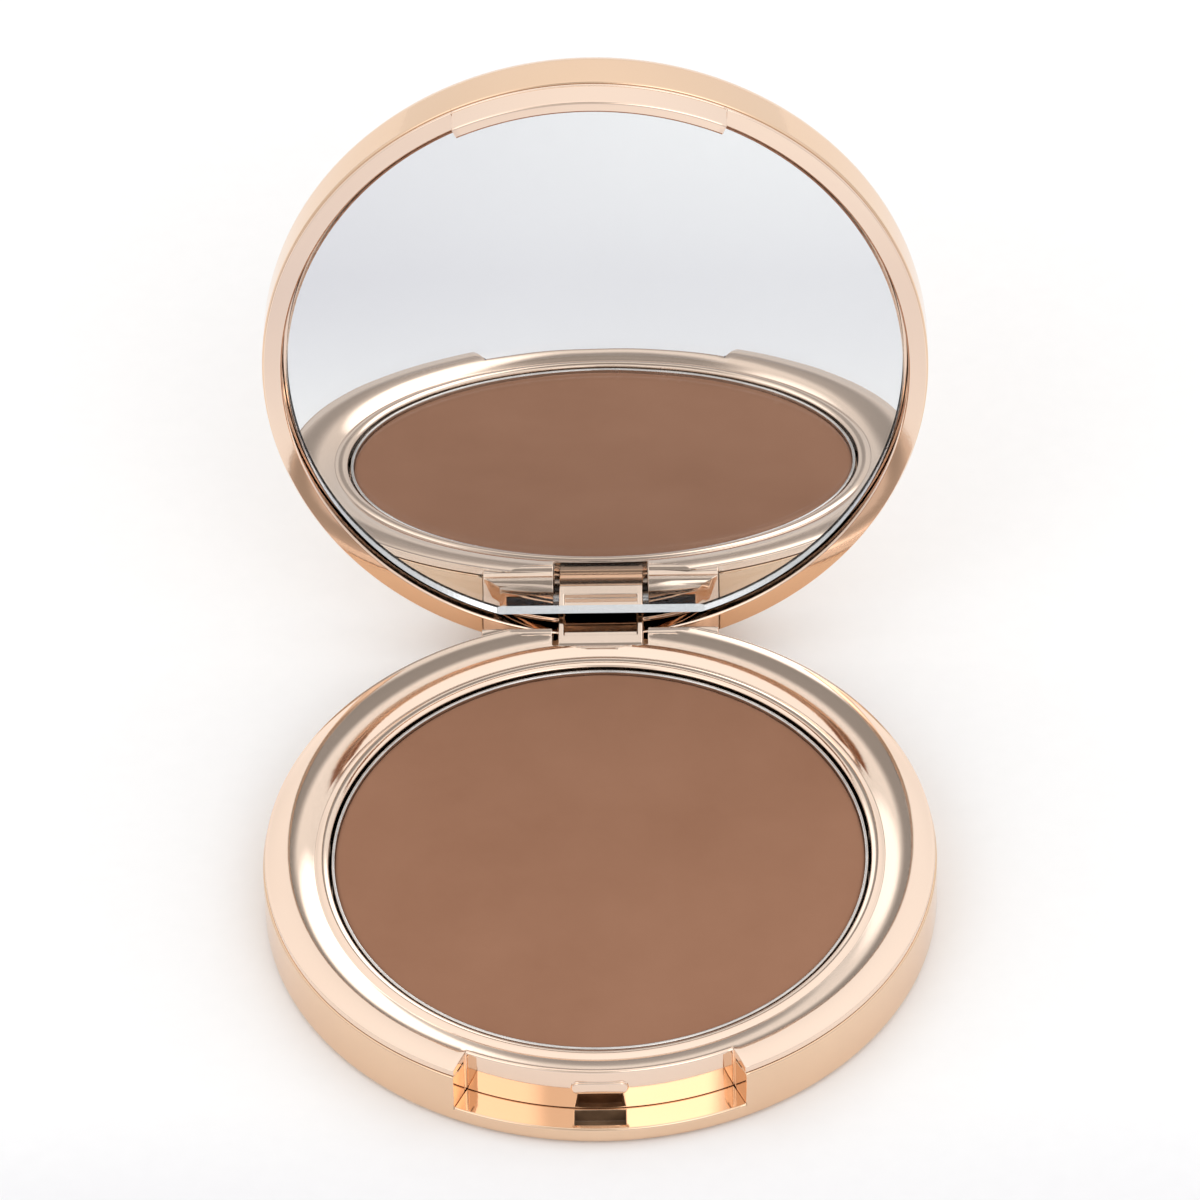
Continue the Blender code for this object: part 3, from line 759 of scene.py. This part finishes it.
def make_knuckle(skirt):
    """The barrel round the pin, with the neck that roots it in the lid."""
    radius = KNUCKLE_RADIUS
    turn = [math.pi * i / 24 for i in range(25)]
    barrel = [(HINGE.y - radius * math.cos(a), HINGE.z - radius * math.sin(a)) for a in turn]
    root = [
        (HINGE.y + radius, RIM_Z + RIM_FLANGE / 2),
        (skirt - NECK_INSET, RIM_Z + RIM_FLANGE / 2),
        (skirt - NECK_INSET, PLATE_Z - NECK_BELOW_PLATE),
        (HINGE.y - radius, PLATE_Z - NECK_BELOW_PLATE),
    ]
    return bar("knuckle", barrel + root, KNUCKLE_HALF)


def make_mirror():
    """A glass disc silvered on its back, with a ground edge and one straight side at the hinge."""
    front, back = MIRROR_Z - GLASS_FORWARD, MIRROR_Z + MIRROR_THICKNESS
    points = outline([
        (0, front),
        (MIRROR_RADIUS - MIRROR_BEVEL, front),
        (MIRROR_RADIUS, front + MIRROR_BEVEL),
        (MIRROR_RADIUS, back),
        (0, back),
    ])
    glass = lathe("mirror_fine", points)
    cut(glass, box("chord", (-FAR, FAR), (CHORD_Y, FAR), (-FAR, FAR)))
    ride(glass, "lid", "mirror", GLASS)
    glass.data.materials.append(SILVER)
    glass.data.materials.append(GROUND)
    rear = Matrix.Rotation(-OPEN, 3, "X") @ Vector((0, 0, 1))
    for face in glass.data.polygons:
        facing = face.normal.dot(rear)
        face.use_smooth = False
        face.material_index = 1 if facing > SILVERED else 0 if facing < -SILVERED else 2


def finish_hidden():
    """Looks of the CAD pieces that stay as they are."""
    for name, mat in (("pan_tape", TAPE), ("mirror_tape", TAPE), ("hinge_pin", STEEL)):
        mesh = frame["nodes"][name].data
        mesh.materials.clear()
        mesh.materials.append(mat)


# ---------------------------------------------------------------- studio

def make_floor():
    """A wide pale paper, with a painted pool of light and painted grey shade round it ahead."""
    bm = bmesh.new()
    bmesh.ops.create_grid(bm, x_segments=1, y_segments=1, size=FLOOR_SIZE / 2)
    floor = link("floor", bm)
    mat, tree, shader, coords = new_material("floor_paper")
    fibre = noise(tree, coords, 400, 3)
    paper = tint(tree, fibre.outputs["Fac"], FLOOR_DARK, FLOOR_LIGHT)
    away = tree.nodes.new("ShaderNodeVectorMath")
    away.operation = "DISTANCE"
    away.inputs[1].default_value = PAINTED_POOL_CENTRE
    tree.links.new(coords.outputs["Object"], away.inputs[0])
    ahead = tree.nodes.new("ShaderNodeVectorMath")
    ahead.operation = "DOT_PRODUCT"
    ahead.inputs[1].default_value = (0, -1, 0)
    tree.links.new(coords.outputs["Object"], ahead.inputs[0])
    # Painted shade: the floor colour turns grey away from the painted pool of light and ahead of the object
    painted_shade_amount = tree.nodes.new("ShaderNodeMath")
    painted_shade_amount.operation = "MULTIPLY"
    tree.links.new(spread(tree, away.outputs["Value"], 0.0, 1.0, *PAINTED_POOL_REACH), painted_shade_amount.inputs[0])
    tree.links.new(spread(tree, ahead.outputs["Value"], 0.0, 1.0, *PAINTED_SHADE_START), painted_shade_amount.inputs[1])
    mix = tree.nodes.new("ShaderNodeMix")
    mix.data_type = "RGBA"
    tree.links.new(painted_shade_amount.outputs["Value"], mix.inputs["Factor"])
    tree.links.new(paper, mix.inputs["A"])
    mix.inputs["B"].default_value = (*FLOOR_PAINTED_SHADE, 1)
    tree.links.new(mix.outputs["Result"], shader.inputs["Base Color"])
    shader.inputs["Roughness"].default_value = 0.9
    shader.inputs["Specular IOR Level"].default_value = 0.0
    floor.data.materials.append(mat)


def make_world():
    """A white tent: an even glow with softer and stronger patches, each given by its direction."""
    world = bpy.data.worlds.new("studio")
    bpy.context.scene.world = world
    world.use_nodes = True
    tree = world.node_tree
    direction = tree.nodes.new("ShaderNodeTexCoord").outputs["Generated"]
    total = None
    for side_deg, lift_deg, inner_deg, outer_deg, amount in PATCHES:
        side, lift = math.radians(side_deg), math.radians(lift_deg)
        facing = tree.nodes.new("ShaderNodeVectorMath")
        facing.operation = "DOT_PRODUCT"
        facing.inputs[1].default_value = (
            math.sin(side) * math.cos(lift), -math.cos(side) * math.cos(lift), math.sin(lift))
        tree.links.new(direction, facing.inputs[0])
        patch = tree.nodes.new("ShaderNodeMapRange")
        patch.interpolation_type = "SMOOTHSTEP"
        patch.inputs["From Min"].default_value = math.cos(math.radians(outer_deg))
        patch.inputs["From Max"].default_value = math.cos(math.radians(inner_deg))
        patch.inputs["To Max"].default_value = amount
        tree.links.new(facing.outputs["Value"], patch.inputs["Value"])
        level = tree.nodes.new("ShaderNodeMath")
        level.operation = "ADD"
        level.inputs[1].default_value = TENT_LEVEL
        tree.links.new(patch.outputs["Result"], level.inputs[0])
        if total is not None:
            tree.links.new(total, level.inputs[1])
        total = level.outputs["Value"]
    back = tree.nodes["Background"]
    back.inputs["Color"].default_value = (*TENT, 1)
    tree.links.new(total, back.inputs["Strength"])


def make_camera():
    """A long lens at the photograph's angle."""
    lift, side, roll = (math.radians(v) for v in (VIEW_LIFT_DEG, VIEW_SIDE_DEG, VIEW_ROLL_DEG))
    back = Vector((math.sin(side) * math.cos(lift), -math.cos(side) * math.cos(lift), math.sin(lift)))
    level = Vector((math.cos(side), math.sin(side), 0))
    rise = back.cross(level)
    right = level * math.cos(roll) + rise * math.sin(roll)
    up = rise * math.cos(roll) - level * math.sin(roll)
    data = bpy.data.cameras.new("camera")
    data.lens = LENS_MM
    data.sensor_width = SENSOR_MM
    data.clip_start = 0.05
    data.clip_end = 50
    camera = bpy.data.objects.new("camera", data)
    place = LOOK_AT + right * FRAMING_SIDE + back * VIEW_DISTANCE
    camera.matrix_world = Matrix((
        (right.x, up.x, back.x, place.x),
        (right.y, up.y, back.y, place.y),
        (right.z, up.z, back.z, place.z),
        (0, 0, 0, 1),
    ))
    bpy.context.scene.collection.objects.link(camera)
    bpy.context.scene.camera = camera


for stray in list(bpy.data.objects):
    if not (stray.name in frame["nodes"] or stray.name.startswith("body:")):
        bpy.data.objects.remove(stray, do_unlink=True)
make_base_shell()
make_base_frame()
make_pan()
make_powder()
make_lid_cover()
make_lid_frame()
make_mirror()
finish_hidden()
make_floor()
make_world()
make_camera()
bpy.context.scene.view_settings.view_transform = "Standard"

bpy.context.view_layer.update()
